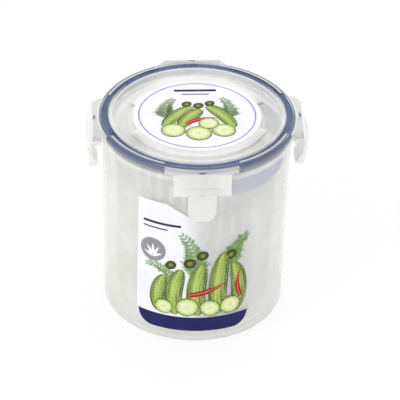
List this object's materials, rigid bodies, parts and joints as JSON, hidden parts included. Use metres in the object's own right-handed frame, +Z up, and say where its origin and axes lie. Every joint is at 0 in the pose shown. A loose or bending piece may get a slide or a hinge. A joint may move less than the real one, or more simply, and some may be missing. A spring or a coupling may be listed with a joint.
{
  "type": "food keeper",
  "caption": "Round translucent food keeper with a flap-locking lid, navy seal ring and a slotted strainer tray that lifts out by a folding bail handle.",
  "frame": {"origin": "centre of the base, on the surface that the keeper stands on", "axes": "+Z up through the lid, -Y towards the front flap and label, +X towards the right flap"},
  "size_m": [0.1156, 0.1156, 0.1128],
  "materials": {
    "container_plastic": "translucent moulded polypropylene, polished outside",
    "lid_plastic": "translucent moulded polypropylene, polished",
    "seal_silicone": "navy silicone, satin",
    "tray_plastic": "milky moulded polypropylene",
    "handle_plastic": "lilac-blue moulded polypropylene, satin",
    "label_film": "printed film label"
  },
  "bodies": {
    "container": {"container_body": "container_plastic", "front_label": "label_film"},
    "lid": {"lid_panel": "lid_plastic", "seal_ring": "seal_silicone", "lid_label": "label_film"},
    "flap_front": {"flap_front": "lid_plastic"},
    "flap_back": {"flap_back": "lid_plastic"},
    "flap_left": {"flap_left": "lid_plastic"},
    "flap_right": {"flap_right": "lid_plastic"},
    "tray": {"strainer_tray": "tray_plastic"},
    "handle": {"tray_handle": "handle_plastic"}
  },
  "joints": [
    {"name": "lid_lift", "type": "slide", "parent": "container", "child": "lid", "axis": [0, 0, 1], "range_m": [0, 0.22]},
    {"name": "flap_right_swing", "type": "hinge", "parent": "lid", "child": "flap_right", "pos_m": [0.0547, 0, 0.11085], "axis": [0, -1, 0], "range_deg": [0, 140]},
    {"name": "flap_back_swing", "type": "hinge", "parent": "lid", "child": "flap_back", "pos_m": [0, 0.0547, 0.11085], "axis": [1, 0, 0], "range_deg": [0, 140]},
    {"name": "flap_left_swing", "type": "hinge", "parent": "lid", "child": "flap_left", "pos_m": [-0.0547, 0, 0.11085], "axis": [0, 1, 0], "range_deg": [0, 140]},
    {"name": "flap_front_swing", "type": "hinge", "parent": "lid", "child": "flap_front", "pos_m": [0, -0.0547, 0.11085], "axis": [-1, 0, 0], "range_deg": [0, 140]},
    {"name": "tray_lift", "type": "slide", "parent": "container", "child": "tray", "axis": [0, 0, 1], "range_m": [0, 0.1144]},
    {"name": "handle_swing", "type": "hinge", "parent": "tray", "child": "handle", "pos_m": [0, 0, 0.0955], "axis": [0.342, -0.9397, 0], "range_deg": [0, 90]}
  ],
  "couplings": [
    {"joint": "tray_lift", "follows": "lid_lift", "ratio": 0.52},
    {"joint": "handle_swing", "follows": "lid_lift", "rad_per_m": 7.1395}
  ]
}
